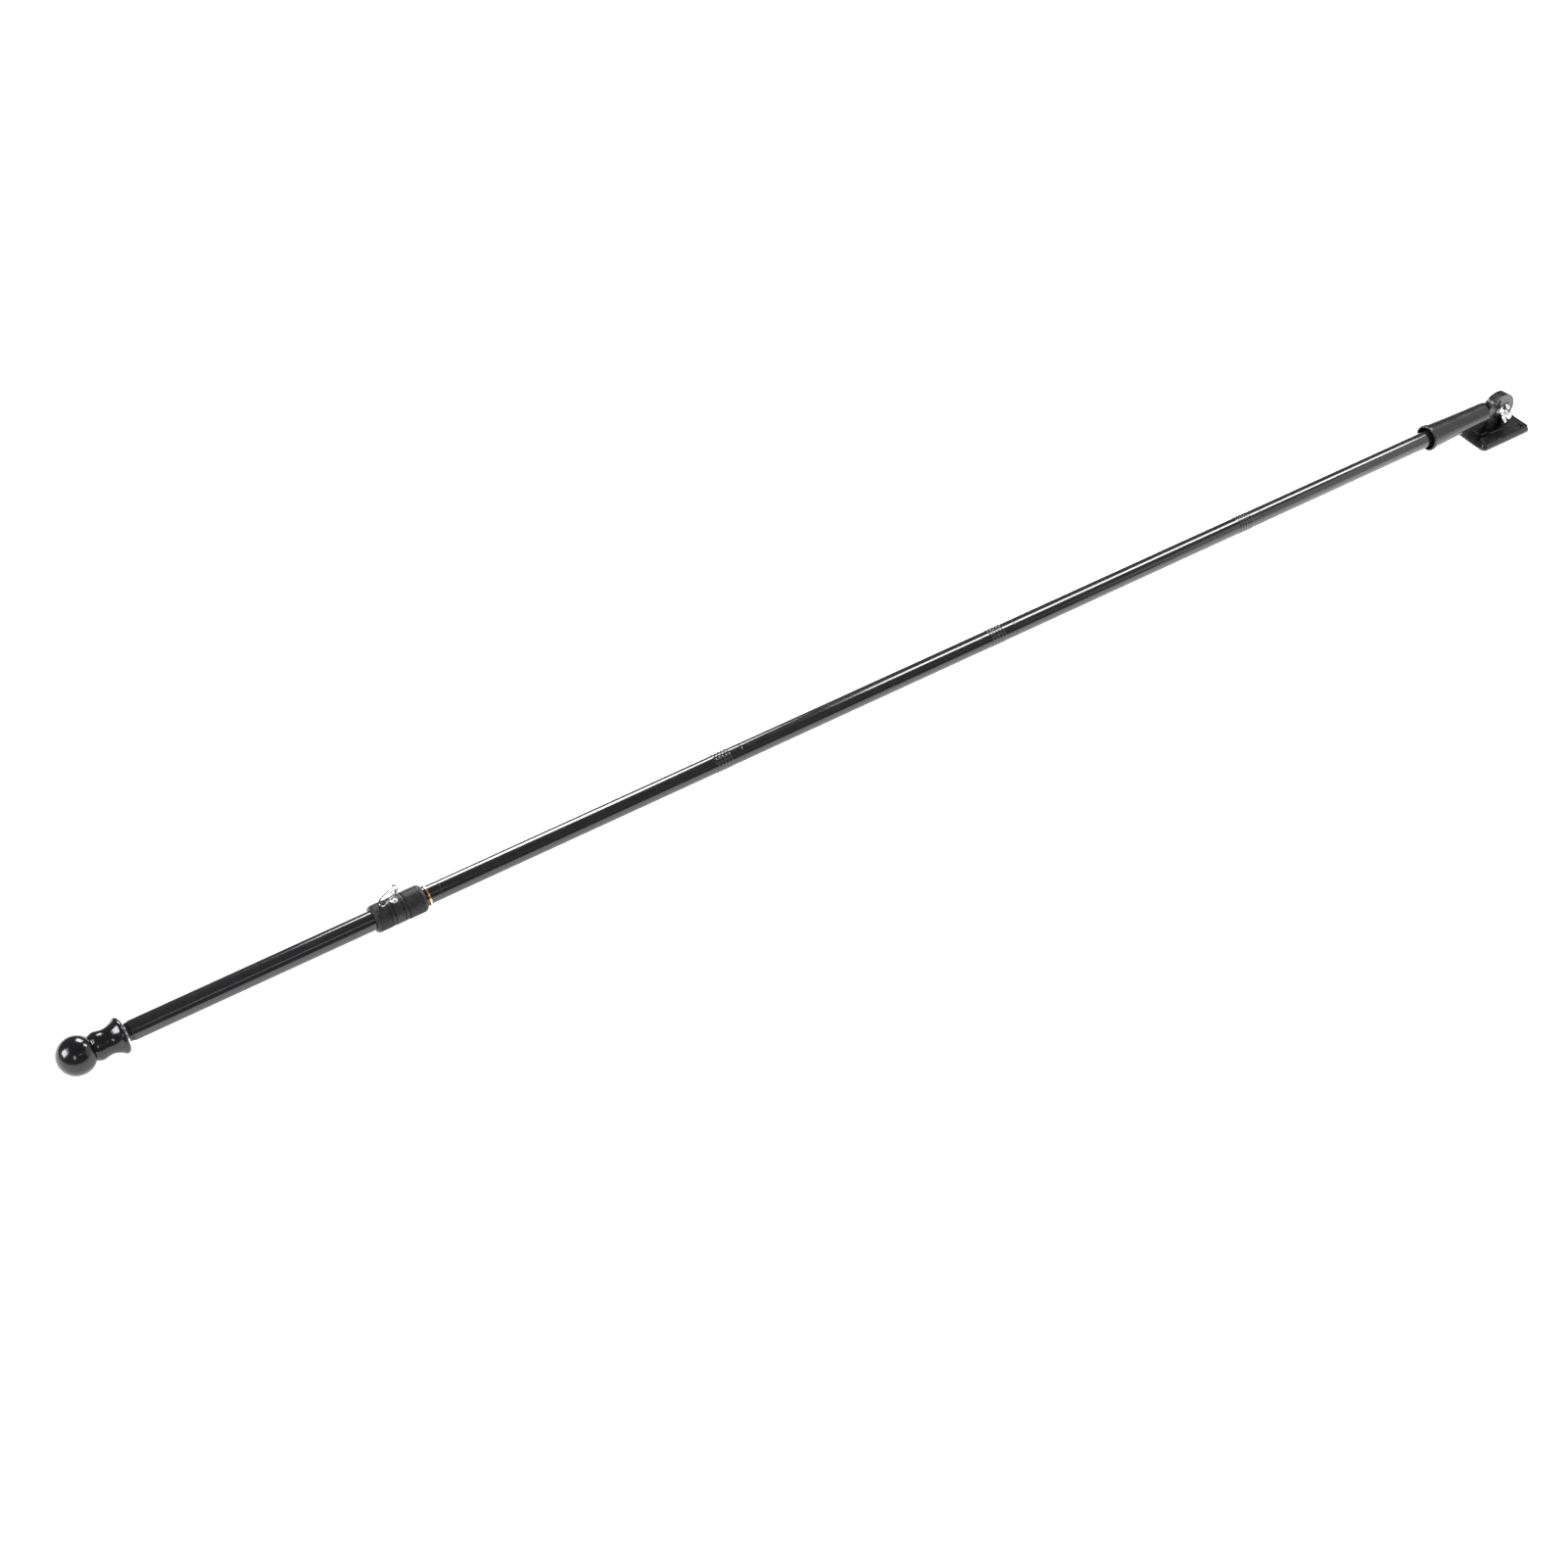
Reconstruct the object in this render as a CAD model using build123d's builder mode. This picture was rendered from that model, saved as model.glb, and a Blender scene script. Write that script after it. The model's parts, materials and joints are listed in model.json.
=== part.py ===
"""Sectional house flagpole with a ball finial, a spinning top section and a folding wall bracket.

Millimetres. The bracket's plate lies flat with its back face on Z = 0 and its centre at the origin.
The pole is folded down beside the plate and runs towards -X, with the ball at its far end.
"""
from math import cos, pi, radians, sin, tan
import os

from build123d import *

# Pole sections
section_length = 357.0
section_count = 4
tube_diameter = 20.2
tube_wall = 1.0
tube_end_chamfer = 0.4

# Rolled beads that lock each section onto its threaded coupler
bead_count = 5
bead_pitch = 4.0
bead_width = 2.7
bead_height = 0.35
bead_centre_from_seam = 24.4

# Threaded couplers inside the seams
coupler_in_upper = 42.0
coupler_in_lower = 24.0
coupler_clearance = 0.03

# Bracket plate with a stepped pad under the ear
plate_length = 79.0
plate_width = 59.6
plate_thickness = 6.5
plate_bevel_height = 3.9
plate_bevel_width = 2.0
plate_corner_radius = 6.0
pad_length = 36.0
pad_width = 27.0
pad_tail_length = 25.0
pad_tail_width = 18.0
pad_height = 1.2
pad_corner_radius = 3.0
pad_draft = 20.0
screw_hole_diameter = 5.2
screw_head_diameter = 9.6
screw_hole_inset = 10.5

# Ear on the plate: a serrated disc on two feet, with a shallow seat for the nut
pivot_x = 4.0
ear_radius = 22.3
ear_thickness = 6.7
ear_seat_radius = 13.0
ear_seat_depth = 1.0
foot_width = 24.0
arch_width = 13.0
arch_top_below_pivot = 9.0
disc_edge_round = 0.9
face_gap = 0.3

# Serrated disc of the socket
socket_disc_radius = 21.5
socket_disc_thickness = 5.4
disc_to_pad_gap = 1.0

# Radial serrations on the two facing discs
tooth_count = 36
tooth_depth = 1.3
tooth_inner_radius = 13.5
tooth_gap_share = 0.88
cut_margin = 0.1

# Pivot bolt, washer and wing nut
bolt_diameter = 6.0
bolt_hole_clearance = 0.08
bolt_head_across_flats = 10.0
bolt_head_height = 4.0
bolt_end_past_nut = 7.5
washer_diameter = 13.0
washer_thickness = 1.2
nut_base_diameter = 11.0
nut_top_diameter = 9.0
nut_height = 7.5
wing_reach = 14.0
wing_thickness = 2.6
wing_tip_radius = 4.4
wing_rise = 8.5
wing_root_rise = 1.0
wing_root_inset = 1.0
nut_turn = 114.0

# Socket that holds the butt of the pole
socket_rise = 3.0
socket_mouth_from_pivot = 118.0
barrel_mouth_diameter = 30.0
barrel_waist_diameter = 26.8
barrel_waist_from_mouth = 42.0
barrel_root_diameter = 24.6
lip_diameter = 32.0
lip_length = 4.5
lip_round = 1.0
socket_floor = 3.0
bore_diameter = 22.8
bore_mouth_diameter = 28.0
bore_lead_length = 32.0
barrel_to_ear_gap = 2.0

# Swivel that carries the spinning top section
swivel_base_length = 13.0
swivel_base_diameter = 20.3
spindle_diameter = 12.0
spindle_socket_depth = 30.0
brass_ring_diameter = 24.0
brass_ring_width = 1.8
brass_sleeve_length = 14.0
running_clearance = 0.06
seat_clearance = 0.02
axial_gap = 0.3

# Spinning top section
top_tube_diameter = 21.3
top_tube_wall = 1.0
top_tube_length = 313.0
top_bush_diameter = 19.6
top_bush_length = 5.0
top_bush_sleeve_length = 14.0

# Finial
finial_washer_diameter = 30.0
finial_washer_thickness = 1.5
flange_diameter = 35.4
flange_edge_round = 1.0
flange_land_length = 6.4
spindle_in_neck = 9.4
neck_waist_diameter = 26.8
neck_waist_from_flange = 15.4
neck_bead_diameter = 29.6
neck_bead_length = 2.0
neck_bead_from_flange = 24.5
neck_end_diameter = 27.0
neck_cove_slope = -1.0
neck_bead_slope = 0.2
ball_diameter = 39.8
ball_centre_from_flange = 47.0

# Flag ring collar on the lower end of the top section
collar_from_tube_end = 3.0
collar_sleeve_wall = 1.85
collar_sleeve_inset = 3.0
collar_nut_wall = 2.1
collar_end_drop = 1.1
collar_end_taper = 3.0
top_nut_length = 15.2
bottom_nut_length = 20.2
groove_width = 1.0
land_width = 3.2
land_drop = 0.3
flag_ring_width = 9.2
flag_ring_drop = 0.1
nut_rib_count = 40
nut_rib_depth = 0.35
nut_rib_gap = 0.8

# Steel eye and snap hook on the flag ring
ring_turn = 0.0
ring_flat_depth = 0.5
eye_base_diameter = 8.0
eye_base_height = 1.8
eye_stem_diameter = 6.0
eye_stem_height = 10.0
eye_diameter = 12.6
eye_thickness = 2.6
eye_hole_diameter = 4.0
eye_above_ring = 14.5
eye_offset = 2.9
hook_wire_diameter = 1.8
hook_length = 23.5
hook_width = 12.0
hook_seat_gap = 0.3

# Derived places along the pole
pivot_z = plate_thickness + pad_height + disc_to_pad_gap + socket_disc_radius
socket_z = pivot_z + socket_rise
tube_radius = tube_diameter / 2
pole_z = socket_z - (bore_diameter / 2 - tube_radius - bead_height)
socket_end_x = pivot_x - ear_radius - barrel_to_ear_gap
butt_x = socket_end_x - socket_floor
mouth_x = pivot_x - socket_mouth_from_pivot
swivel_x = butt_x - section_count * section_length
brass_x = swivel_x - swivel_base_length
top_tube_start_x = brass_x - brass_ring_width - axial_gap
top_tube_end_x = top_tube_start_x - top_tube_length
bush_end_x = top_tube_end_x - top_bush_length
washer_x = bush_end_x - axial_gap
flange_x = washer_x - finial_washer_thickness
ball_x = flange_x - ball_centre_from_flange
collar_start_x = top_tube_start_x - collar_from_tube_end
sleeve_radius = top_tube_diameter / 2 + collar_sleeve_wall
collar_radius = sleeve_radius + collar_nut_wall
collar_end_radius = collar_radius - collar_end_drop
land_radius = collar_radius - land_drop
ring_radius = collar_radius - flag_ring_drop

pole_axis = Axis((0, 0, pole_z), (1, 0, 0))
socket_axis = Axis((0, 0, socket_z), (1, 0, 0))


def across(x):
    """Plane across the pole at x, looking towards the ball."""
    return Plane(origin=(x, 0, pole_z), x_dir=(0, 1, 0), z_dir=(-1, 0, 0))


def profile_plane(x, z, way=1):
    """Upright plane through an axis along X, starting at x and running in that way."""
    return Plane(origin=(x, 0, z), x_dir=(way, 0, 0), z_dir=(0, -way, 0))


def facing(y, way=-1):
    """Plane centred on the pivot at y, facing the wing nut's side, or away from it."""
    return Plane(origin=(pivot_x, y, pivot_z), x_dir=(1, 0, 0), z_dir=(0, way, 0))


def save(piece, name):
    piece.label = name
    export_step(piece, f"parts/{name}.step")


os.makedirs("parts", exist_ok=True)

# Wedge between two serrations, lying along X with the disc's face on Z = 0
with BuildPart() as tooth_gap:
    for reach in (tooth_inner_radius, ear_radius + disc_edge_round):
        half_gap = reach * tan(pi / tooth_count) * tooth_gap_share
        with BuildSketch(Plane(origin=(reach, 0, 0), x_dir=(0, 1, 0), z_dir=(1, 0, 0))):
            with BuildLine():
                Polyline((-half_gap, cut_margin), (half_gap, cut_margin), (0, -tooth_depth), close=True)
            make_face()
    loft()


def rounded_disc(y, way, radius, thickness):
    """Disc around the pivot whose back lies at y and whose outer rim is rounded."""
    flat_radius = radius - disc_edge_round
    with BuildPart() as disc:
        with BuildSketch(Plane(origin=(pivot_x, y, pivot_z), x_dir=(1, 0, 0), z_dir=(0, 0, way))):
            with BuildLine():
                Polyline((0, thickness), (0, 0), (radius, 0), (radius, thickness - disc_edge_round))
                RadiusArc((radius, thickness - disc_edge_round), (flat_radius, thickness), -disc_edge_round)
                Line((flat_radius, thickness), (0, thickness))
            make_face()
        revolve(axis=Axis((pivot_x, 0, pivot_z), (0, 1, 0)))
    return disc.part


def cut_teeth(face_y, way):
    """Cuts the serrations into the disc face at face_y, which looks in that way."""
    with Locations(facing(face_y, way)):
        with PolarLocations(0, tooth_count):
            add(tooth_gap.part, mode=Mode.SUBTRACT)


# Base casting: bevelled plate, stepped pad and the ear with its arched foot
ear_back_y = -face_gap / 2
ear_front_y = ear_back_y - ear_thickness
pad_start_x = pivot_x - pad_length / 2
pad_top_z = plate_thickness + pad_height
ear_disc = rounded_disc(ear_back_y, -1, ear_radius, ear_thickness)
with BuildPart() as base_casting:
    with BuildSketch(Plane.XY):
        RectangleRounded(plate_length, plate_width, plate_corner_radius)
    extrude(amount=plate_thickness)
    top_edges = base_casting.faces().sort_by(Axis.Z)[-1].edges()
    chamfer(top_edges, length=plate_bevel_height, length2=plate_bevel_width)
    with BuildSketch(Plane.XY.offset(plate_thickness)):
        with Locations((pivot_x, 0)):
            RectangleRounded(pad_length, pad_width, pad_corner_radius)
        with Locations((pad_start_x, 0)):
            RectangleRounded(pad_tail_length, pad_tail_width, pad_corner_radius)
    extrude(amount=pad_height, taper=pad_draft)
    add(ear_disc)
    with BuildSketch(facing(ear_back_y)):
        with Locations((0, plate_thickness - pivot_z)):
            Rectangle(foot_width, ear_radius, align=(Align.CENTER, Align.MIN))
    extrude(amount=ear_thickness - disc_edge_round)
    with BuildSketch(facing(ear_front_y)):
        Circle(ear_seat_radius)
    extrude(amount=-ear_seat_depth, mode=Mode.SUBTRACT)
    arch_centre_drop = arch_top_below_pivot + arch_width / 2
    with BuildSketch(facing(ear_back_y)):
        with Locations((0, -arch_centre_drop)):
            Circle(arch_width / 2)
            Rectangle(arch_width, pivot_z - pad_top_z - arch_centre_drop, align=(Align.CENTER, Align.MAX))
    extrude(amount=ear_thickness, mode=Mode.SUBTRACT)
    with BuildSketch(facing(ear_back_y)):
        Circle(bolt_diameter / 2 + bolt_hole_clearance)
    extrude(amount=ear_thickness, mode=Mode.SUBTRACT)
    cut_teeth(ear_back_y, 1)
    with Locations(Plane.XY.offset(plate_thickness)):
        with GridLocations(
            plate_length - 2 * screw_hole_inset, plate_width - 2 * screw_hole_inset, 2, 2
        ):
            CounterSinkHole(screw_hole_diameter / 2, screw_head_diameter / 2)
save(base_casting.part, "base_casting")

# Socket casting: flared barrel with a rolled lip, domed onto the other serrated disc
socket_face_y = face_gap / 2
barrel_mouth_radius = barrel_mouth_diameter / 2
root_radius = barrel_root_diameter / 2
lip_radius = lip_diameter / 2
dome_middle = root_radius * sin(radians(45))
socket_disc = rounded_disc(socket_face_y, 1, socket_disc_radius, socket_disc_thickness)
with BuildPart() as socket:
    with BuildSketch(profile_plane(mouth_x, socket_z)):
        with BuildLine():
            Polyline((0, 0), (0, lip_radius - lip_round))
            RadiusArc((0, lip_radius - lip_round), (lip_round, lip_radius), lip_round)
            Polyline(
                (lip_round, lip_radius),
                (lip_length - lip_round, lip_radius),
                (lip_length, barrel_mouth_radius),
            )
            ThreePointArc(
                (lip_length, barrel_mouth_radius),
                (barrel_waist_from_mouth, barrel_waist_diameter / 2),
                (socket_end_x - mouth_x, root_radius),
            )
            ThreePointArc(
                (socket_end_x - mouth_x, root_radius),
                (socket_end_x - mouth_x + dome_middle, dome_middle),
                (socket_end_x - mouth_x + root_radius, 0),
            )
            Line((socket_end_x - mouth_x + root_radius, 0), (0, 0))
        make_face()
    revolve(axis=socket_axis)
    with BuildSketch(Plane((socket_end_x, socket_face_y, socket_z), x_dir=(1, 0, 0), z_dir=(0, -1, 0))):
        Rectangle(root_radius + cut_margin, lip_diameter, align=(Align.MIN, Align.CENTER))
    extrude(amount=root_radius + face_gap, mode=Mode.SUBTRACT)
    add(socket_disc)
    with BuildSketch(profile_plane(mouth_x, socket_z)):
        with BuildLine():
            Polyline(
                (0, 0),
                (0, bore_mouth_diameter / 2),
                (bore_lead_length, bore_diameter / 2),
                (butt_x - mouth_x, bore_diameter / 2),
                (butt_x - mouth_x, 0),
                close=True,
            )
        make_face()
    revolve(axis=socket_axis, mode=Mode.SUBTRACT)
    with BuildSketch(facing(socket_face_y)):
        Circle(bolt_diameter / 2 + bolt_hole_clearance)
    extrude(amount=-socket_disc_thickness, mode=Mode.SUBTRACT)
    cut_teeth(socket_face_y, -1)
save(socket.part, "socket")

# Pivot bolt with a hexagon head behind the socket's disc
bolt_head_y = socket_face_y + socket_disc_thickness
washer_seat_y = ear_front_y + ear_seat_depth
nut_seat_y = washer_seat_y - washer_thickness
bolt_end_y = nut_seat_y - nut_height - bolt_end_past_nut
with BuildPart() as pivot_bolt:
    with BuildSketch(facing(bolt_head_y)):
        Circle(bolt_diameter / 2)
    extrude(amount=bolt_head_y - bolt_end_y)
    with BuildSketch(facing(bolt_head_y)):
        RegularPolygon(bolt_head_across_flats / 2, 6, major_radius=False)
    extrude(amount=-bolt_head_height)
save(pivot_bolt.part, "pivot_bolt")

with BuildPart() as clamp_washer:
    with BuildSketch(facing(washer_seat_y)):
        Circle(washer_diameter / 2)
        Circle(bolt_diameter / 2 + bolt_hole_clearance, mode=Mode.SUBTRACT)
    extrude(amount=washer_thickness)
save(clamp_washer.part, "clamp_washer")

# Wing nut: tapered hub with two raked wings
wing_way = (cos(radians(nut_turn)), 0, sin(radians(nut_turn)))
wing_normal = (sin(radians(nut_turn)), 0, -cos(radians(nut_turn)))
wing_tip_x = wing_reach - wing_tip_radius
wing_root_x = nut_base_diameter / 2 - wing_root_inset
wing_top_x = nut_top_diameter / 2 - wing_root_inset
with BuildPart() as wing_nut:
    with BuildSketch(facing(nut_seat_y)):
        Circle(nut_base_diameter / 2)
    with BuildSketch(facing(nut_seat_y - nut_height)):
        Circle(nut_top_diameter / 2)
    loft()
    with BuildSketch(Plane((pivot_x, nut_seat_y, pivot_z), x_dir=wing_way, z_dir=wing_normal)):
        with Locations((wing_tip_x, wing_rise), (-wing_tip_x, wing_rise)):
            Circle(wing_tip_radius)
        with BuildLine():
            Polyline(
                (wing_root_x, wing_root_rise),
                (wing_tip_x, wing_rise - wing_tip_radius),
                (wing_tip_x, wing_rise + wing_tip_radius / 2),
                (wing_top_x, nut_height),
                (-wing_top_x, nut_height),
                (-wing_tip_x, wing_rise + wing_tip_radius / 2),
                (-wing_tip_x, wing_rise - wing_tip_radius),
                (-wing_root_x, wing_root_rise),
                close=True,
            )
        make_face()
    extrude(amount=wing_thickness / 2, both=True)
    with BuildSketch(facing(nut_seat_y)):
        Circle(bolt_diameter / 2 + seat_clearance)
    extrude(amount=nut_height + wing_rise, mode=Mode.SUBTRACT)
save(wing_nut.part, "wing_nut")


def pole_section(start_x):
    """One tube from start_x towards the ball, with the rolled beads near its start."""
    first_bead = bead_centre_from_seam - (bead_count - 1) / 2 * bead_pitch
    with BuildPart() as tube:
        with BuildSketch(across(start_x)):
            Circle(tube_radius)
        extrude(amount=section_length)
        chamfer(tube.edges(), tube_end_chamfer)
        for bead in range(bead_count):
            with BuildSketch(profile_plane(start_x - first_bead - bead * bead_pitch, pole_z)):
                with Locations((0, tube_radius)):
                    Ellipse(bead_width / 2, bead_height)
                    Rectangle(bead_pitch, bead_pitch, align=(Align.CENTER, Align.MAX), mode=Mode.SUBTRACT)
            revolve(axis=pole_axis)
        with BuildSketch(across(start_x)):
            Circle(tube_radius - tube_wall)
        extrude(amount=section_length, mode=Mode.SUBTRACT)
    return tube.part


inner_radius = tube_radius - tube_wall - coupler_clearance


def coupler(seam_x):
    """Threaded plug that joins two sections, hidden inside them."""
    with BuildPart() as plug:
        with BuildSketch(across(seam_x + coupler_in_lower)):
            Circle(inner_radius)
        extrude(amount=coupler_in_lower + coupler_in_upper)
    return plug.part


for number in range(section_count):
    section_start_x = butt_x - number * section_length
    save(pole_section(section_start_x), f"pole_section_{number + 1}")
    if number:
        save(coupler(section_start_x), f"coupler_{number}")

# Swivel base, screwed into the last plain section, with the spindle for the top section
spindle_radius = spindle_diameter / 2
with BuildPart() as swivel_base:
    with BuildSketch(across(swivel_x)):
        Circle(swivel_base_diameter / 2)
    extrude(amount=swivel_base_length)
    with BuildSketch(across(swivel_x)):
        Circle(inner_radius)
    extrude(amount=-coupler_in_lower)
    with BuildSketch(across(brass_x)):
        Circle(spindle_radius + seat_clearance)
    extrude(amount=-spindle_socket_depth, mode=Mode.SUBTRACT)
save(swivel_base.part, "swivel_base")

spindle_start_x = brass_x + spindle_socket_depth
spindle_end_x = flange_x - spindle_in_neck
with BuildPart() as spindle:
    with BuildSketch(across(spindle_start_x)):
        Circle(spindle_radius)
    extrude(amount=spindle_start_x - spindle_end_x)
save(spindle.part, "spindle")

top_inner_radius = top_tube_diameter / 2 - top_tube_wall
with BuildPart() as brass_ring:
    with BuildSketch(across(brass_x)):
        Circle(brass_ring_diameter / 2)
    extrude(amount=brass_ring_width)
    with BuildSketch(across(brass_x)):
        Circle(top_inner_radius - running_clearance)
    extrude(amount=brass_ring_width + brass_sleeve_length)
    with BuildSketch(across(brass_x)):
        Circle(spindle_radius + seat_clearance)
    extrude(amount=brass_ring_width + brass_sleeve_length, mode=Mode.SUBTRACT)
save(brass_ring.part, "brass_ring")

with BuildPart() as top_tube:
    with BuildSketch(across(top_tube_start_x)):
        Circle(top_tube_diameter / 2)
    extrude(amount=top_tube_length)
    chamfer(top_tube.edges(), tube_end_chamfer)
    with BuildSketch(across(top_tube_start_x)):
        Circle(top_inner_radius)
    extrude(amount=top_tube_length, mode=Mode.SUBTRACT)
save(top_tube.part, "top_tube")

with BuildPart() as top_bush:
    with BuildSketch(across(top_tube_end_x)):
        Circle(top_bush_diameter / 2)
    extrude(amount=top_bush_length)
    with BuildSketch(across(top_tube_end_x)):
        Circle(top_inner_radius - seat_clearance)
    extrude(amount=-top_bush_sleeve_length)
    with BuildSketch(across(bush_end_x)):
        Circle(spindle_radius + running_clearance)
    extrude(amount=-(top_bush_length + top_bush_sleeve_length), mode=Mode.SUBTRACT)
save(top_bush.part, "top_bush")

with BuildPart() as finial_washer:
    with BuildSketch(across(washer_x)):
        Circle(finial_washer_diameter / 2)
        Circle(spindle_radius + seat_clearance, mode=Mode.SUBTRACT)
    extrude(amount=finial_washer_thickness)
save(finial_washer.part, "finial_washer")

# Finial neck: flange, cove, waist and bead turned as one piece, hollowed to seat the ball
flange_radius = flange_diameter / 2
waist_radius = neck_waist_diameter / 2
bead_radius = neck_bead_diameter / 2
neck_end_radius = neck_end_diameter / 2
ball_radius = ball_diameter / 2
ball_seat = ball_centre_from_flange - (ball_radius**2 - neck_end_radius**2) ** 0.5
spindle_hole = spindle_radius + seat_clearance
bead_end = neck_bead_from_flange + neck_bead_length
with BuildPart() as finial_neck:
    with BuildSketch(profile_plane(flange_x, pole_z, way=-1)):
        with BuildLine():
            Polyline((0, spindle_hole), (0, flange_radius - flange_edge_round))
            ThreePointArc(
                (0, flange_radius - flange_edge_round),
                (flange_land_length / 2, flange_radius),
                (flange_land_length, flange_radius - flange_edge_round),
            )
            Spline(
                (flange_land_length, flange_radius - flange_edge_round),
                (neck_waist_from_flange, waist_radius),
                (neck_bead_from_flange, bead_radius),
                tangents=((1, neck_cove_slope), (1, neck_bead_slope)),
            )
            Line((neck_bead_from_flange, bead_radius), (bead_end, bead_radius))
            Polyline(
                (bead_end, bead_radius),
                (ball_seat, neck_end_radius),
                (ball_seat, 0),
                (spindle_in_neck, 0),
                (spindle_in_neck, spindle_hole),
                (0, spindle_hole),
            )
        make_face()
    revolve(axis=pole_axis)
    with BuildSketch(profile_plane(ball_x, pole_z)):
        Circle(ball_radius + seat_clearance)
        Rectangle(ball_diameter * 2, ball_diameter, align=(Align.CENTER, Align.MAX), mode=Mode.SUBTRACT)
    revolve(axis=pole_axis, mode=Mode.SUBTRACT)
save(finial_neck.part, "finial_neck")

with BuildPart() as finial_ball:
    with BuildSketch(profile_plane(ball_x, pole_z)):
        Circle(ball_radius)
        Rectangle(ball_diameter * 2, ball_diameter, align=(Align.CENTER, Align.MAX), mode=Mode.SUBTRACT)
    revolve(axis=pole_axis)
save(finial_ball.part, "finial_ball")

# Flag ring collar: a sleeve with two lands, a ribbed nut on each end and the loose ring between
bottom_nut_end_x = collar_start_x - bottom_nut_length
bottom_land_x = bottom_nut_end_x - groove_width
ring_x = bottom_land_x - land_width - groove_width
top_land_x = ring_x - flag_ring_width - groove_width
top_nut_x = top_land_x - land_width - groove_width
collar_end_x = top_nut_x - top_nut_length
collar_length = collar_start_x - collar_end_x
with BuildPart() as collar_sleeve:
    with BuildSketch(across(collar_start_x - collar_sleeve_inset)):
        Circle(sleeve_radius)
    extrude(amount=collar_length - 2 * collar_sleeve_inset)
    for land_x in (bottom_land_x, top_land_x):
        with BuildSketch(across(land_x)):
            Circle(land_radius)
        extrude(amount=land_width)
    with BuildSketch(across(collar_start_x)):
        Circle(top_tube_diameter / 2 + seat_clearance)
    extrude(amount=collar_length, mode=Mode.SUBTRACT)
save(collar_sleeve.part, "collar_sleeve")


def ribbed_nut(inner_x, outer_x):
    """Collar nut from its inner face to its tapered outer end, with fine ribs for the grip."""
    length = abs(outer_x - inner_x)
    way = 1 if outer_x > inner_x else -1
    tube_seat = top_tube_diameter / 2 + seat_clearance
    sleeve_seat = sleeve_radius + seat_clearance
    with BuildPart() as nut:
        with BuildSketch(profile_plane(inner_x, pole_z, way)):
            with BuildLine():
                Polyline(
                    (0, sleeve_seat),
                    (0, collar_radius),
                    (length - collar_end_taper, collar_radius),
                    (length, collar_end_radius),
                    (length, tube_seat),
                    (length - collar_sleeve_inset, tube_seat),
                    (length - collar_sleeve_inset, sleeve_seat),
                    close=True,
                )
            make_face()
        revolve(axis=pole_axis)
        with BuildSketch(Plane(origin=(inner_x, 0, pole_z), x_dir=(0, 1, 0), z_dir=(way, 0, 0))):
            with PolarLocations(collar_radius, nut_rib_count):
                Rectangle(2 * nut_rib_depth, nut_rib_gap)
        extrude(amount=length - collar_end_taper, mode=Mode.SUBTRACT)
    return nut.part


save(ribbed_nut(bottom_nut_end_x, collar_start_x), "collar_nut_bottom")
save(ribbed_nut(top_nut_x, collar_end_x), "collar_nut_top")

# Loose flag ring with a flat seat for the steel eye
ring_mid_x = ring_x - flag_ring_width / 2
seat_z = pole_z + ring_radius - ring_flat_depth
with BuildPart() as flag_ring:
    with BuildSketch(across(ring_x)):
        Circle(ring_radius)
        Circle(sleeve_radius + running_clearance, mode=Mode.SUBTRACT)
    extrude(amount=flag_ring_width)
    with BuildSketch(Plane.XY.offset(seat_z)):
        with Locations((ring_mid_x, 0)):
            Rectangle(flag_ring_width, 2 * ring_radius)
    extrude(amount=ring_radius, mode=Mode.SUBTRACT)
save(flag_ring.part.rotate(pole_axis, ring_turn), "flag_ring")

# Steel eye: round base, short stem and a flat eye in line with the pole
eye_x = ring_mid_x + eye_offset
eye_z = seat_z + eye_above_ring
with BuildPart() as ring_eye:
    for diameter, height in (
        (eye_base_diameter, eye_base_height),
        (eye_stem_diameter, eye_stem_height),
    ):
        with BuildSketch(Plane.XY.offset(seat_z)):
            with Locations((ring_mid_x, 0)):
                Circle(diameter / 2)
        extrude(amount=height)
    with BuildSketch(profile_plane(eye_x, eye_z)):
        Circle(eye_diameter / 2)
    extrude(amount=eye_thickness / 2, both=True)
    with BuildSketch(profile_plane(eye_x, eye_z)):
        Circle(eye_hole_diameter / 2)
    extrude(amount=eye_thickness, both=True, mode=Mode.SUBTRACT)
save(ring_eye.part.rotate(pole_axis, ring_turn), "ring_eye")

# Snap hook: a wire loop through the eye that lies back on the upper nut
wire_radius = hook_wire_diameter / 2
hinge_z = eye_z - (eye_hole_diameter / 2 - wire_radius - hook_seat_gap)
hook_reach = hook_length - hook_wire_diameter
tip_z = pole_z + collar_radius + wire_radius + hook_seat_gap
hook_drop = hinge_z - tip_z
hook_run = (hook_reach**2 - hook_drop**2) ** 0.5
hook_turn_radius = (hook_width - hook_wire_diameter) / 2
straight_end = hook_reach - hook_turn_radius
hook_plane = Plane(
    origin=(eye_x, 0, hinge_z), x_dir=(-hook_run, 0, -hook_drop), z_dir=(-hook_drop, 0, hook_run)
)
with BuildPart() as snap_hook:
    with BuildLine(hook_plane):
        Line((hook_turn_radius, hook_turn_radius), (straight_end, hook_turn_radius))
        ThreePointArc((straight_end, hook_turn_radius), (hook_reach, 0), (straight_end, -hook_turn_radius))
        Line((straight_end, -hook_turn_radius), (hook_turn_radius, -hook_turn_radius))
        ThreePointArc((hook_turn_radius, -hook_turn_radius), (0, 0), (hook_turn_radius, hook_turn_radius))
    wire_start = hook_plane.from_local_coords((hook_turn_radius, hook_turn_radius, 0))
    with BuildSketch(Plane(wire_start, x_dir=hook_plane.y_dir, z_dir=hook_plane.x_dir)):
        Circle(wire_radius)
    sweep()
save(snap_hook.part.rotate(pole_axis, ring_turn), "snap_hook")
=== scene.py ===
import json
from math import cos, pi, radians, sin

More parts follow.
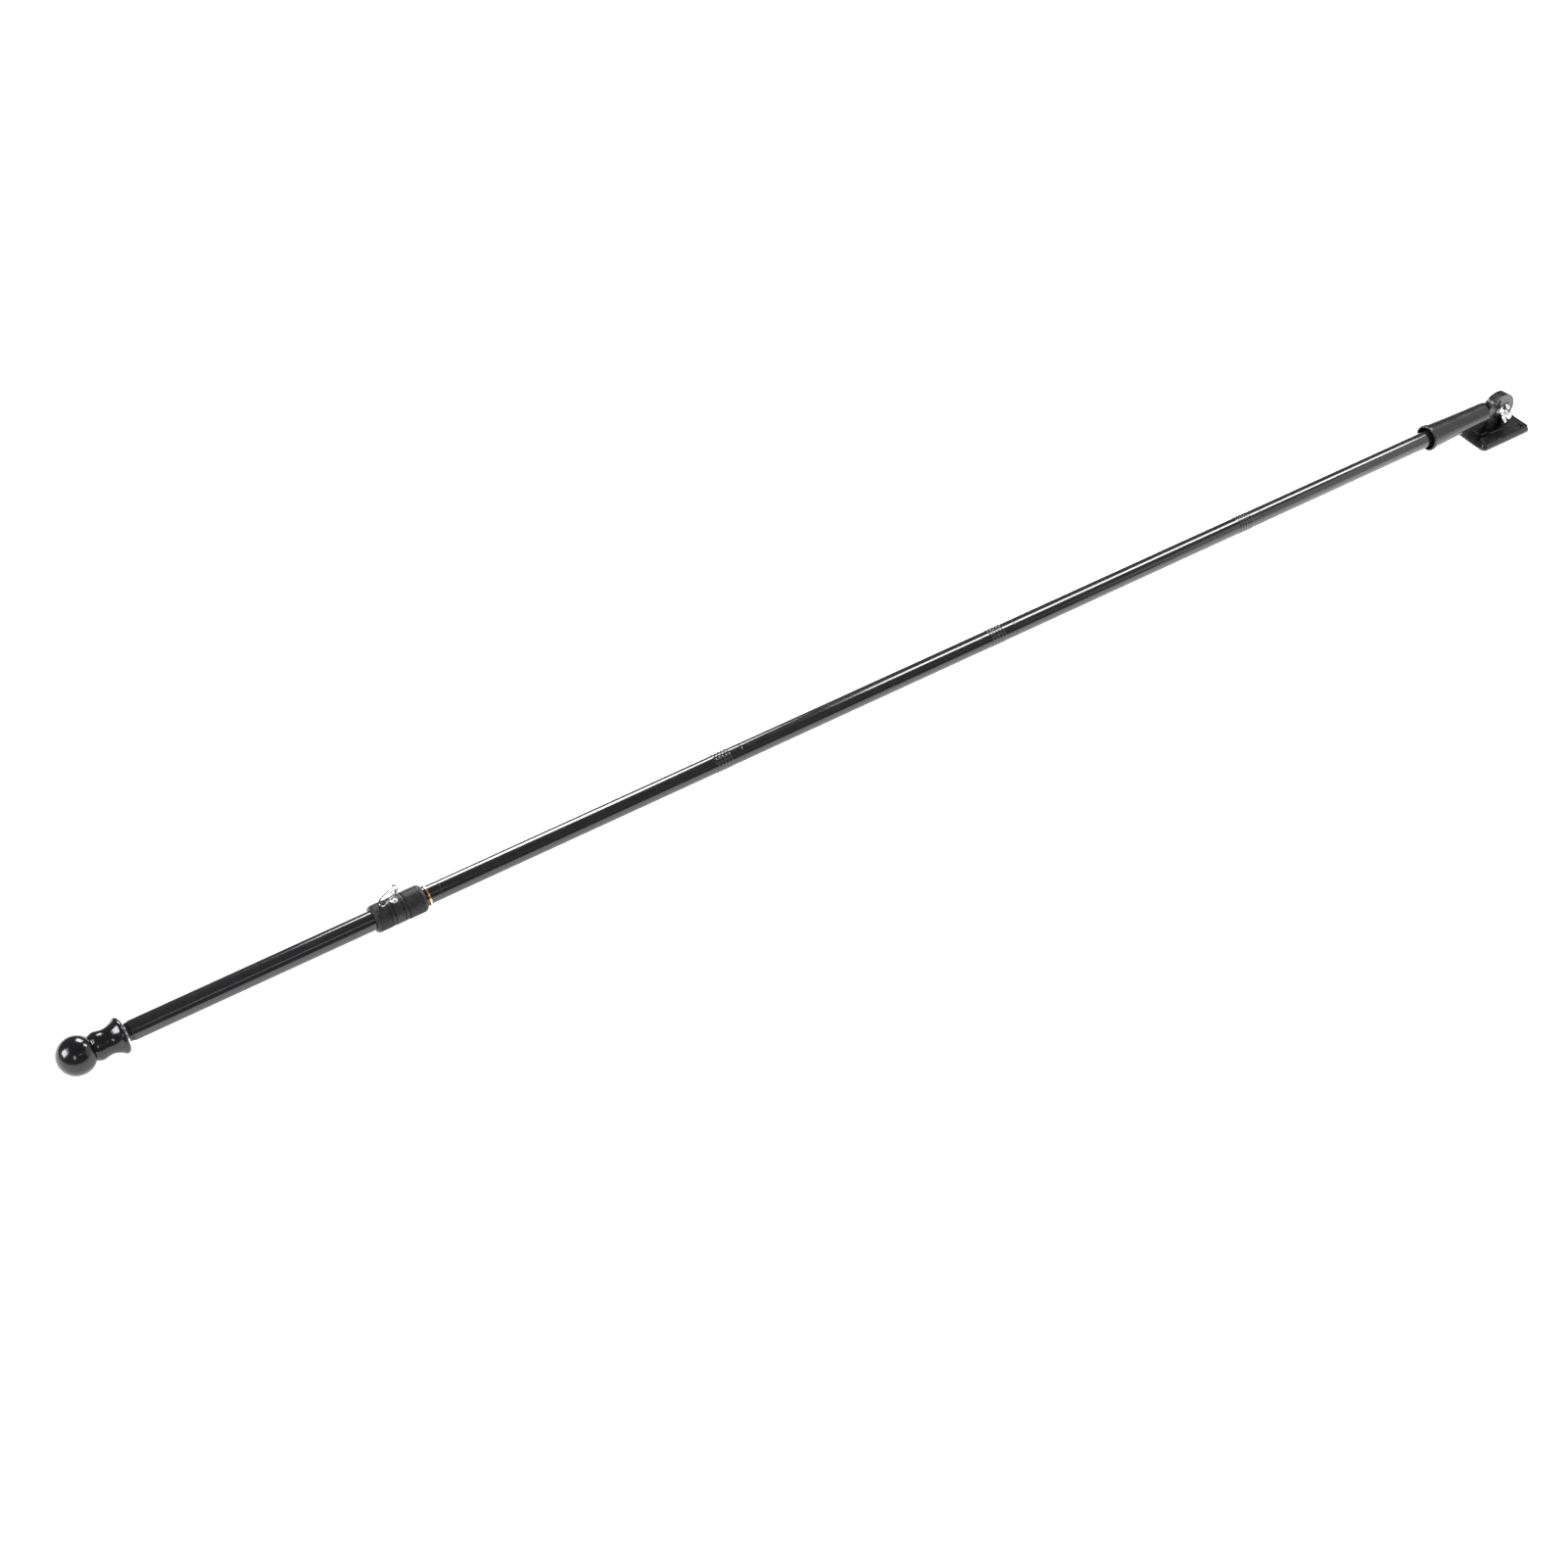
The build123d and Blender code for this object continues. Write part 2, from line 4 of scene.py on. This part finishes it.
import bpy
from mathutils import Matrix, Vector


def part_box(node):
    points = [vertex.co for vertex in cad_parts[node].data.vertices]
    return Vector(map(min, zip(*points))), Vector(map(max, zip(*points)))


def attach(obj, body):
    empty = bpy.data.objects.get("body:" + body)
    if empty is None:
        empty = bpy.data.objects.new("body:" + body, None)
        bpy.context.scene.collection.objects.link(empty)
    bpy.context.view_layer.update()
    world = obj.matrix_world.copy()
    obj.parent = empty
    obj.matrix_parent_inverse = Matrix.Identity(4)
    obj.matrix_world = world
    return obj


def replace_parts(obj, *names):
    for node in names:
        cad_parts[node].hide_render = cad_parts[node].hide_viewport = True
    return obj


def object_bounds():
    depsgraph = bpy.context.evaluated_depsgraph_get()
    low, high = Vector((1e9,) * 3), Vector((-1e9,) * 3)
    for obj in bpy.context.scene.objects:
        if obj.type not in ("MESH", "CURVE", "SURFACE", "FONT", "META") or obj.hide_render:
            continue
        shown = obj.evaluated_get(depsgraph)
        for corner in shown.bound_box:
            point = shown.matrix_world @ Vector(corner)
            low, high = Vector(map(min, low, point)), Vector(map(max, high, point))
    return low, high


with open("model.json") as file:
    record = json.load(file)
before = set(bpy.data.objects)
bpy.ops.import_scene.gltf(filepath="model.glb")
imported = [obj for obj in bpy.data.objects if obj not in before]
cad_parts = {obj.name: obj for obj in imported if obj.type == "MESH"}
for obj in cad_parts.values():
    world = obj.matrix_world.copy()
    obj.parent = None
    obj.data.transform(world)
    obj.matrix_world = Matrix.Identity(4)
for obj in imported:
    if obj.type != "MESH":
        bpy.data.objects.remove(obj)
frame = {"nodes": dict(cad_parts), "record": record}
cad_low, cad_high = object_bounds()
nodes = frame["nodes"]

MM = 0.001

# The photo's camera, found from the seams, the ball, the plate's edges and the disc's face
PHOTO_SIZE = 1601
FOCAL_PIXELS = 2615.5
SENSOR_WIDTH = 36.0
FARTHEST_SEEN = 30.0
CAMERA_PLACE = (-2.1325, -1.6558, 1.8732)
CAMERA_YAW = radians(33.425)
CAMERA_PITCH = radians(44.012)
CAMERA_ROLL = radians(0.379)


def make_camera():
    """Camera at the photo's place, looking down across the folded pole."""
    data = bpy.data.cameras.new("photo_camera")
    data.sensor_width = SENSOR_WIDTH
    data.lens = FOCAL_PIXELS * SENSOR_WIDTH / PHOTO_SIZE
    data.clip_end = FARTHEST_SEEN
    camera = bpy.data.objects.new("photo_camera", data)
    yaw = Matrix.Rotation(-CAMERA_YAW, 4, "Z")
    pitch = Matrix.Rotation(pi / 2 - CAMERA_PITCH, 4, "X")
    roll = Matrix.Rotation(-CAMERA_ROLL, 4, "Z")
    camera.matrix_world = Matrix.Translation(CAMERA_PLACE) @ yaw @ pitch @ roll
    bpy.context.scene.collection.objects.link(camera)
    bpy.context.scene.camera = camera


# Surface effects shared by the finishes
NOISE_LOW = 0.3
NOISE_HIGH = 0.7
GLOSS_DETAIL = 5.0
BEVEL_SAMPLES = 4
SOFT_EDGE_RADIUS = 0.5 * MM
GRAIN_DEPTH = 0.1 * MM
GRAIN_DETAIL = 3.0
WORN_EDGE_RADIUS = 0.6 * MM
EDGE_BEND_LEAST = 0.985
EDGE_BEND_FULL = 0.9
CHIP_SCALE = 350.0
CHIP_DETAIL = 4.0
CHIP_START = 0.45
CHIP_FULL = 0.62
LATHE_SCALE = 400.0
LATHE_DETAIL = 2.0
LATHE_STRETCH = (1.0, 0.02, 0.02)
LATHE_DEPTH = 0.05 * MM


def new_group(name, inputs, outputs):
    """Node group with named inputs, each with its value, and named outputs; gives its end nodes too."""
    group = bpy.data.node_groups.new(name, "ShaderNodeTree")
    for socket, value in inputs.items():
        made = group.interface.new_socket(socket, in_out="INPUT", socket_type="NodeSocketFloat")
        made.default_value = value
    for socket, kind in outputs.items():
        group.interface.new_socket(socket, in_out="OUTPUT", socket_type=kind)
    return group, group.nodes.new("NodeGroupInput"), group.nodes.new("NodeGroupOutput")


def noise_field(group, scale, detail, stretch=(1, 1, 1)):
    """Noise over the object's own coordinates, stretched along its axes; gives its Fac output."""
    coords = group.nodes.new("ShaderNodeTexCoord")
    mapping = group.nodes.new("ShaderNodeMapping")
    mapping.inputs["Scale"].default_value = stretch
    noise = group.nodes.new("ShaderNodeTexNoise")
    noise.inputs["Detail"].default_value = detail
    if isinstance(scale, float):
        noise.inputs["Scale"].default_value = scale
    else:
        group.links.new(scale, noise.inputs["Scale"])
    group.links.new(coords.outputs["Object"], mapping.inputs["Vector"])
    group.links.new(mapping.outputs["Vector"], noise.inputs["Vector"])
    return noise.outputs["Fac"]


def spread_range(group, value, start, end):
    """Map Range node that spreads a value from start to end, by itself over 0 to 1."""
    spread = group.nodes.new("ShaderNodeMapRange")
    spread.inputs["From Min"].default_value = start
    spread.inputs["From Max"].default_value = end
    group.links.new(value, spread.inputs["Value"])
    return spread


def times(group, first, second):
    """Product of two values."""
    product = group.nodes.new("ShaderNodeMath")
    product.operation = "MULTIPLY"
    group.links.new(first, product.inputs[0])
    group.links.new(second, product.inputs[1])
    return product.outputs["Value"]


def bevel_normal(group, radius):
    """Normal of the surface with its edges rounded to a radius."""
    bevel = group.nodes.new("ShaderNodeBevel")
    bevel.samples = BEVEL_SAMPLES
    bevel.inputs["Radius"].default_value = radius
    return bevel.outputs["Normal"]


def bump_from(group, height, strength, depth):
    """Bump node raised by a height over a depth."""
    bump = group.nodes.new("ShaderNodeBump")
    bump.inputs["Distance"].default_value = depth
    group.links.new(height, bump.inputs["Height"])
    group.links.new(strength, bump.inputs["Strength"])
    return bump


def uneven_gloss_group():
    """Slow and fine unevenness of a finish: a roughness value between two limits, and its mask."""
    group, source, sink = new_group(
        "uneven_gloss",
        {"Scale": 60.0, "Low": 0.1, "High": 0.2},
        {"Roughness": "NodeSocketFloat", "Mask": "NodeSocketFloat"},
    )
    fac = noise_field(group, source.outputs["Scale"], GLOSS_DETAIL)
    spread = spread_range(group, fac, NOISE_LOW, NOISE_HIGH)
    group.links.new(source.outputs["Low"], spread.inputs["To Min"])
    group.links.new(source.outputs["High"], spread.inputs["To Max"])
    group.links.new(spread.outputs["Result"], sink.inputs["Roughness"])
    group.links.new(fac, sink.inputs["Mask"])
    return group


def soft_edge_group():
    """Edges rounded in the shading, over a fine grain, as one normal."""
    group, source, sink = new_group(
        "soft_edge_grain", {"Grain Scale": 800.0, "Grain Strength": 0.1}, {"Normal": "NodeSocketVector"}
    )
    grain = noise_field(group, source.outputs["Grain Scale"], GRAIN_DETAIL)
    bump = bump_from(group, grain, source.outputs["Grain Strength"], GRAIN_DEPTH)
    group.links.new(bevel_normal(group, SOFT_EDGE_RADIUS), bump.inputs["Normal"])
    group.links.new(bump.outputs["Normal"], sink.inputs["Normal"])
    return group


def edge_wear_group():
    """Mask of the worn edges, broken up by noise."""
    group, source, sink = new_group("edge_wear", {"Amount": 0.5}, {"Mask": "NodeSocketFloat"})
    plain = group.nodes.new("ShaderNodeNewGeometry")
    bend = group.nodes.new("ShaderNodeVectorMath")
    bend.operation = "DOT_PRODUCT"
    group.links.new(bevel_normal(group, WORN_EDGE_RADIUS), bend.inputs[0])
    group.links.new(plain.outputs["Normal"], bend.inputs[1])
    edge = spread_range(group, bend.outputs["Value"], EDGE_BEND_LEAST, EDGE_BEND_FULL)
    noise = noise_field(group, CHIP_SCALE, CHIP_DETAIL)
    chips = spread_range(group, noise, CHIP_START, CHIP_FULL)
    worn = times(group, edge.outputs["Result"], chips.outputs["Result"])
    group.links.new(times(group, worn, source.outputs["Amount"]), sink.inputs["Mask"])
    return group


def turned_lines_group():
    """Fine rings around the pole's axis, as left by a lathe: a mask and a normal."""
    group, source, sink = new_group(
        "turned_lines", {"Strength": 0.2}, {"Mask": "NodeSocketFloat", "Normal": "NodeSocketVector"}
    )
    fac = noise_field(group, LATHE_SCALE, LATHE_DETAIL, stretch=LATHE_STRETCH)
    bump = bump_from(group, fac, source.outputs["Strength"], LATHE_DEPTH)
    group.links.new(fac, sink.inputs["Mask"])
    group.links.new(bump.outputs["Normal"], sink.inputs["Normal"])
    return group


uneven_gloss = uneven_gloss_group()
soft_edge_grain = soft_edge_group()
edge_wear = edge_wear_group()
turned_lines = turned_lines_group()

# Finishes
ENAMEL_GLOSS_SCALE = 60.0
METAL_GLOSS_SCALE = 500.0
METAL_GRAIN_SCALE = 1500.0
METAL_GRAIN = 0.1
LATHE_STRENGTH = 0.3
WORN_TINT = (0.16, 0.16, 0.165)


def add_group(tree, group, values):
    """Shared effect placed in a material, with the material's own values."""
    node = tree.nodes.new("ShaderNodeGroup")
    node.node_tree = group
    for socket, value in values.items():
        node.inputs[socket].default_value = value
    return node


def make_material(name):
    """Node material, with its node tree and its Principled BSDF."""
    material = bpy.data.materials.new(name)
    material.use_nodes = True
    return material, material.node_tree, material.node_tree.nodes["Principled BSDF"]


def mix_colours(tree, mask, first, second):
    """Colour that goes from first to second by a mask; first may be a colour or an output."""
    mix = tree.nodes.new("ShaderNodeMix")
    mix.data_type = "RGBA"
    if isinstance(first, tuple):
        mix.inputs["A"].default_value = (*first, 1)
    else:
        tree.links.new(first, mix.inputs["A"])
    mix.inputs["B"].default_value = (*second, 1)
    tree.links.new(mask, mix.inputs["Factor"])
    return mix.outputs["Result"]


def enamel(name, dark, pale, low, high, coat, coat_roughness, specular, grain, grain_scale, wear):
    """Black finish: uneven gloss, a fine grain, softened edges and faint wear on them."""
    material, tree, shader = make_material(name)
    gloss = add_group(tree, uneven_gloss, {"Scale": ENAMEL_GLOSS_SCALE, "Low": low, "High": high})
    relief = add_group(tree, soft_edge_grain, {"Grain Scale": grain_scale, "Grain Strength": grain})
    worn = add_group(tree, edge_wear, {"Amount": wear})
    tint = mix_colours(tree, gloss.outputs["Mask"], dark, pale)
    shown = mix_colours(tree, worn.outputs["Mask"], tint, WORN_TINT)
    tree.links.new(shown, shader.inputs["Base Color"])
    tree.links.new(gloss.outputs["Roughness"], shader.inputs["Roughness"])
    tree.links.new(relief.outputs["Normal"], shader.inputs["Normal"])
    shader.inputs["Coat Weight"].default_value = coat
    shader.inputs["Coat Roughness"].default_value = coat_roughness
    shader.inputs["Specular IOR Level"].default_value = specular
    return material


def metal(name, dark, pale, low, high, from_lathe=False):
    """Bare metal: uneven gloss and either lathe lines or a fine grain with softened edges."""
    material, tree, shader = make_material(name)
    gloss = add_group(tree, uneven_gloss, {"Scale": METAL_GLOSS_SCALE, "Low": low, "High": high})
    if from_lathe:
        relief = add_group(tree, turned_lines, {"Strength": LATHE_STRENGTH})
    else:
        grain = {"Grain Scale": METAL_GRAIN_SCALE, "Grain Strength": METAL_GRAIN}
        relief = add_group(tree, soft_edge_grain, grain)
    tint = mix_colours(tree, gloss.outputs["Mask"], dark, pale)
    tree.links.new(tint, shader.inputs["Base Color"])
    tree.links.new(gloss.outputs["Roughness"], shader.inputs["Roughness"])
    tree.links.new(relief.outputs["Normal"], shader.inputs["Normal"])
    shader.inputs["Metallic"].default_value = 1.0
    return material


materials = {
    "black_tube": enamel(
        "tube_enamel",
        dark=(0.005, 0.005, 0.006), pale=(0.011, 0.011, 0.012), low=0.12, high=0.18,
        coat=0.3, coat_roughness=0.06, specular=0.45, grain=0.03, grain_scale=1200.0, wear=0.2,
    ),
    "black_casting": enamel(
        "casting_enamel",
        dark=(0.004, 0.004, 0.005), pale=(0.009, 0.009, 0.010), low=0.2, high=0.3,
        coat=0.2, coat_roughness=0.1, specular=0.3, grain=0.2, grain_scale=700.0, wear=0.4,
    ),
    "black_plastic": enamel(
        "moulded_black",
        dark=(0.003, 0.003, 0.004), pale=(0.006, 0.006, 0.007), low=0.12, high=0.2,
        coat=0.3, coat_roughness=0.03, specular=0.25, grain=0.02, grain_scale=400.0, wear=0.1,
    ),
    "bright_steel": metal(
        "plated_steel", dark=(0.50, 0.50, 0.51), pale=(0.78, 0.78, 0.78), low=0.08, high=0.24
    ),
    "aluminium": metal(
        "turned_aluminium",
        dark=(0.62, 0.62, 0.64), pale=(0.78, 0.78, 0.79), low=0.2, high=0.35, from_lathe=True,
    ),
    "brass": metal(
        "turned_brass",
        dark=(0.62, 0.4, 0.17), pale=(0.85, 0.62, 0.33), low=0.12, high=0.3, from_lathe=True,
    ),
}
collar_matte = enamel(
    "collar_matte",
    dark=(0.005, 0.005, 0.006), pale=(0.011, 0.011, 0.012), low=0.42, high=0.55,
    coat=0.0, coat_roughness=0.1, specular=0.35, grain=0.2, grain_scale=900.0, wear=0.3,
)
# Snap hook: steel made much darker than the plated steel
hook_steel = metal("hook_steel", dark=(0.10, 0.10, 0.105), pale=(0.22, 0.22, 0.225), low=0.12, high=0.3)
own_finish = {
    "collar_nut_bottom": collar_matte,
    "collar_nut_top": collar_matte,
    "collar_sleeve": collar_matte,
    "flag_ring": collar_matte,
    "snap_hook": hook_steel,
}
slots = {part["node"]: part["material_slot"] for part in frame["record"]["subparts"]}
for name, slot in slots.items():
    mesh = nodes[name].data
    mesh.materials.clear()
    mesh.materials.append(own_finish.get(name, materials[slot]))


def new_piece(name, vertices, faces, body, slot, smooth=True):
    """Mesh piece that rides on a body, with the material of its slot."""
    mesh = bpy.data.meshes.new(name)
    mesh.from_pydata(vertices, [], faces)
    mesh.validate()
    piece = bpy.data.objects.new(name, mesh)
    bpy.context.scene.collection.objects.link(piece)
    mesh.materials.append(materials[slot])
    for face in mesh.polygons:
        face.use_smooth = smooth
    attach(piece, body)
    return piece


def round_outline(points, passes=2):
    """Chaikin's corner cutting of a closed outline."""
    for _ in range(passes):
        cut = []
        for i, (x0, y0) in enumerate(points):
            x1, y1 = points[(i + 1) % len(points)]
            cut.append((x0 * 0.75 + x1 * 0.25, y0 * 0.75 + y1 * 0.25))
            cut.append((x0 * 0.25 + x1 * 0.75, y0 * 0.25 + y1 * 0.75))
        points = cut
    return points


def curve_through(a, b, c, d, s):
    """Catmull-Rom value between b and c, a share s of the way."""
    return b + 0.5 * s * (c - a + s * (2 * a - 5 * b + 4 * c - d + s * (3 * (b - c) + d - a)))


def smooth_curve(points, steps):
    """Curve through points, with as many steps in each span."""
    ends = [points[0], *points, points[-1]]
    curve = []
    for a, b, c, d in zip(ends, ends[1:], ends[2:], ends[3:]):
        for step in range(steps):
            s = step / steps
            curve.append(tuple(curve_through(a[k], b[k], c[k], d[k], s) for k in (0, 1)))
    curve.append(points[-1])
    return curve


def turned(profile, origin, axis, side, steps, closed):
    """Vertices and faces of a profile (radius, rise) turned about an axis; side is square to it."""
    other = axis.cross(side)
    count = len(profile)
    vertices = []
    faces = []
    for step in range(steps):
        turn = 2 * pi * step / steps
        ray = side * cos(turn) + other * sin(turn)
        vertices += [origin + ray * (radius * MM) + axis * (rise * MM) for radius, rise in profile]
    for step in range(steps):
        here = step * count
        ahead = (step + 1) % steps * count
        for i in range(count if closed else count - 1):
            j = (i + 1) % count
            faces.append((here + i, ahead + i, ahead + j, here + j))
    return vertices, faces


# Finial neck: (radius, distance from the flange's face), in millimetres
NECK_OUTLINE = (
    (6.1, 0.0), (16.6, 0.0), (18.0, 0.5), (18.8, 2.2), (18.7, 4.2), (17.4, 6.0), (15.6, 8.6), (14.2, 11.8),
    (13.5, 15.4), (13.7, 19.0), (14.4, 22.6), (14.8, 25.4), (14.6, 27.6), (13.9, 29.6), (12.9, 31.6),
    (11.6, 32.6),
)
NECK_STEPS = 96
NECK_CURVE_STEPS = 6


def make_finial_neck():
    """Turned neck with a broad rolled flange, a cove and a round shoulder against the ball."""
    low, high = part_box("finial_neck")
    face = Vector((high.x, 0, (low.z + high.z) / 2))
    outline = smooth_curve(NECK_OUTLINE, NECK_CURVE_STEPS)
    vertices, faces = turned(outline, face, Vector((-1, 0, 0)), Vector((0, 1, 0)), NECK_STEPS, False)
    return new_piece("finial_neck_turned", vertices, faces, "pole", "black_plastic")


# Screw eye: its stem as (radius, height above the flag ring), and the ring of round wire
EYE_STEM = (
    (0.0, 0.0), (4.0, 0.0), (4.0, 1.1), (3.2, 1.9), (2.5, 3.2), (2.4, 5.6), (3.1, 7.4), (3.1, 9.2),
    (1.9, 10.6), (0.0, 11.0),
)
EYE_STEM_STEPS = 32
EYE_STEM_CURVE_STEPS = 4
EYE_RING_RADIUS = 4.3
EYE_RING_STEPS = 48
EYE_WIRE_RADIUS = 1.95
EYE_WIRE_STEPS = 16


def make_ring_eye():
    """Screw eye: round base, waisted stem and a ring of round wire."""
    low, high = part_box("ring_eye")
    ring_low, ring_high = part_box("flag_ring")
    seat = Vector(((ring_low.x + ring_high.x) / 2, 0, low.z))
    reach = (EYE_RING_RADIUS + EYE_WIRE_RADIUS) * MM
    along, across, up = Vector((1, 0, 0)), Vector((0, 1, 0)), Vector((0, 0, 1))
    stem = smooth_curve(EYE_STEM, EYE_STEM_CURVE_STEPS)
    vertices, faces = turned(stem, seat, up, along, EYE_STEM_STEPS, False)
    wire = []
    for step in range(EYE_WIRE_STEPS):
        turn = 2 * pi * step / EYE_WIRE_STEPS
        wire.append((EYE_RING_RADIUS + EYE_WIRE_RADIUS * cos(turn), EYE_WIRE_RADIUS * sin(turn)))
    centre = Vector((high.x - reach, 0, high.z - reach))
    ring_vertices, ring_faces = turned(wire, centre, across, along, EYE_RING_STEPS, True)
    shift = len(vertices)
    faces += [tuple(i + shift for i in face) for face in ring_faces]
    return new_piece("screw_eye", vertices + ring_vertices, faces, "ring", "bright_steel")


# Wing nut: hub as (radius, height above its seat), wing as (distance from the bolt, height)
nut_seat_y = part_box("wing_nut")[1].y
bolt_low, bolt_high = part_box("pivot_bolt")
pivot = (bolt_low + bolt_high) / 2
NUT_TURN = radians(90)
HUB_PROFILE = (
    (3.2, 0.0), (5.2, 0.0), (5.5, 0.35), (5.5, 1.6), (5.0, 2.6), (4.6, 5.6), (4.4, 7.1), (4.0, 7.5),
    (3.2, 7.5),
)
HUB_HEIGHT = HUB_PROFILE[-1][1] * MM
HUB_STEPS = 40
WING_OUTLINE = (
    (3.0, 0.9), (5.6, 0.9), (8.4, 1.2), (11.2, 2.2), (13.2, 4.2), (14.0, 6.8), (13.4, 9.4), (11.4, 11.0),
    (9.0, 11.0), (7.4, 9.6), (6.4, 7.8), (5.0, 7.0), (3.0, 6.9),
)
WING_HALF_THICKNESS = 1.6 * MM
# Across a wing: share of the half thickness, and the outline's size there
WING_LAYERS = ((-1.0, 0.86), (-0.8, 0.95), (-0.4, 1.0), (0.4, 1.0), (0.8, 0.95), (1.0, 0.86))


def add_wing(vertices, faces, seat, along, out, across, side):
    """Adds the wing on one side of the hub: layers of its outline, then its two flat faces."""
    outline = round_outline(WING_OUTLINE)
    size = len(outline)
    middle_u = sum(u for u, v in outline) / size
    middle_v = sum(v for u, v in outline) / size
    first = len(vertices)
    for depth, swell in WING_LAYERS:
        for u, v in outline:
            reach = along * (side * (middle_u + (u - middle_u) * swell) * MM)
            rise = out * ((middle_v + (v - middle_v) * swell) * MM)
            vertices.append(seat + reach + rise + across * (WING_HALF_THICKNESS * depth))
    added = []
    for low in range(first, len(vertices) - size, size):
        for i in range(size):
            j = (i + 1) % size
            added.append((low + i, low + j, low + size + j, low + size + i))
    added.append(tuple(range(first, first + size))[::-1])
    added.append(tuple(range(len(vertices) - size, len(vertices))))
    faces += added if side > 0 else [face[::-1] for face in added]


def make_wing_nut():
    """Hub turned about the bolt, with two wings whose rims are rounded."""
    along = Vector((cos(NUT_TURN), 0, sin(NUT_TURN)))
    out = Vector((0, -1, 0))
    seat = Vector((pivot.x, nut_seat_y, pivot.z))
    vertices, faces = turned(HUB_PROFILE, seat, out, along, HUB_STEPS, True)
    for side in (1, -1):
        add_wing(vertices, faces, seat, along, out, along.cross(out), side)
    return new_piece("wing_nut_cast", vertices, faces, "bracket", "bright_steel")


THREAD_PITCH = 1.0 * MM
THREAD_CREST = 3.3 * MM
THREAD_ROOT = 2.95 * MM
THREAD_STEPS = 28
# Section of the thread: radius, and place along the bolt as a share of the pitch
THREAD_SECTION = ((THREAD_ROOT, 0.45), (THREAD_CREST, 0.06), (THREAD_CREST, -0.06), (THREAD_ROOT, -0.45))


def make_bolt_thread():
    """Helical crest on the bolt's free end."""
    start = nut_seat_y - HUB_HEIGHT
    length = start - bolt_low.y - THREAD_PITCH
    steps = int(length / THREAD_PITCH * THREAD_STEPS)
    count = len(THREAD_SECTION)
    vertices = []
    faces = []
    for step in range(steps + 1):
        turn = 2 * pi * step / THREAD_STEPS
        y = start - THREAD_PITCH * (0.5 + step / THREAD_STEPS)
        for radius, shift in THREAD_SECTION:
            x = pivot.x + radius * cos(turn)
            z = pivot.z + radius * sin(turn)
            vertices.append((x, y + shift * THREAD_PITCH, z))
    for low in range(0, steps * count, count):
        faces += [(low + i, low + i + 1, low + count + i + 1, low + count + i) for i in range(count - 1)]
    return new_piece("bolt_thread", vertices, faces, "bracket", "bright_steel", smooth=False)


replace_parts(make_wing_nut(), "wing_nut")
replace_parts(make_finial_neck(), "finial_neck")
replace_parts(make_ring_eye(), "ring_eye")
make_bolt_thread()


def soft_box(name, place, target, width, height, glow):
    """Softbox with an even glow, facing the target; glow is its brightness against a white of 1."""
    data = bpy.data.lights.new(name, "AREA")
    data.shape = "RECTANGLE"
    data.size = width
    data.size_y = height
    data.energy = glow * pi * width * height
    lamp = bpy.data.objects.new(name, data)
    lamp.location = place
    lamp.rotation_euler = (Vector(target) - Vector(place)).to_track_quat("-Z", "Y").to_euler()
    lamp.visible_camera = False
    bpy.context.scene.collection.objects.link(lamp)


# Windows stand where the ball reflects them: azimuth from +X towards +Y and elevation, from the ball
ball_low, ball_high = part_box("finial_ball")
ball_centre = (ball_low + ball_high) / 2


def window(name, azimuth, elevation, distance, width, height, glow):
    """Window that faces the ball."""
    turn = radians(azimuth)
    rise = radians(elevation)
    towards = Vector((cos(rise) * cos(turn), cos(rise) * sin(turn), sin(rise)))
    soft_box(name, ball_centre + towards * distance, ball_centre, width, height, glow)


window("end_window", azimuth=165, elevation=36, distance=2.5, width=1.35, height=1.2, glow=22)
window("end_window_top", azimuth=165, elevation=56, distance=2.5, width=1.35, height=0.12, glow=14)
window("back_window", azimuth=47, elevation=36, distance=1.75, width=0.72, height=0.62, glow=22)
window("small_window", azimuth=-115, elevation=38, distance=2.6, width=0.3, height=0.75, glow=15)
soft_box("overhead_strip", (0.25, 0.25, 1.23), (0.25, 0.0, 0.0), width=1.2, height=0.45, glow=20)
soft_box("side_wall", (1.6, -1.5, 1.15), (-1.0, -1.5, 1.15), width=3.4, height=2.3, glow=1.3)
soft_box("front_strip", (-1.05, -1.9, 1.95), (-1.6, 0, 0), width=0.7, height=0.12, glow=6)
soft_box("front_strip_long", (0.8, -1.9, 1.95), (-0.7, 0, 0), width=2.9, height=0.12, glow=1.2)

FLOOR_GAP = 0.5 * MM
FLOOR_REACH = 7.0
FLOOR_COLOUR = (0.9, 0.9, 0.9, 1)
FLOOR_GLOW = 0.75
WHITE = (1, 1, 1, 1)
SKY_STRENGTH = 0.22


def make_floor():
    """Plain pale floor just under the plate."""
    mesh = bpy.data.meshes.new("pale_floor")
    middle = (cad_low + cad_high) / 2
    corners = []
    for x, y in ((-1, -1), (1, -1), (1, 1), (-1, 1)):
        corners.append((middle.x + x * FLOOR_REACH, middle.y + y * FLOOR_REACH, cad_low.z - FLOOR_GAP))
    mesh.from_pydata(corners, [], [(0, 1, 2, 3)])
    floor = bpy.data.objects.new("pale_floor", mesh)
    bpy.context.scene.collection.objects.link(floor)
    material, tree, shader = make_material("pale_floor")
    shader.inputs["Base Color"].default_value = FLOOR_COLOUR
    shader.inputs["Roughness"].default_value = 1.0
    shader.inputs["Specular IOR Level"].default_value = 0.0
    shader.inputs["Emission Color"].default_value = WHITE
    shader.inputs["Emission Strength"].default_value = FLOOR_GLOW
    mesh.materials.append(material)


def make_world():
    """Even white light from all around."""
    world = bpy.data.worlds.new("studio")
    world.use_nodes = True
    background = world.node_tree.nodes["Background"]
    background.inputs["Color"].default_value = WHITE
    background.inputs["Strength"].default_value = SKY_STRENGTH
    bpy.context.scene.world = world


make_camera()
make_floor()
make_world()
bpy.context.scene.view_settings.view_transform = "Standard"
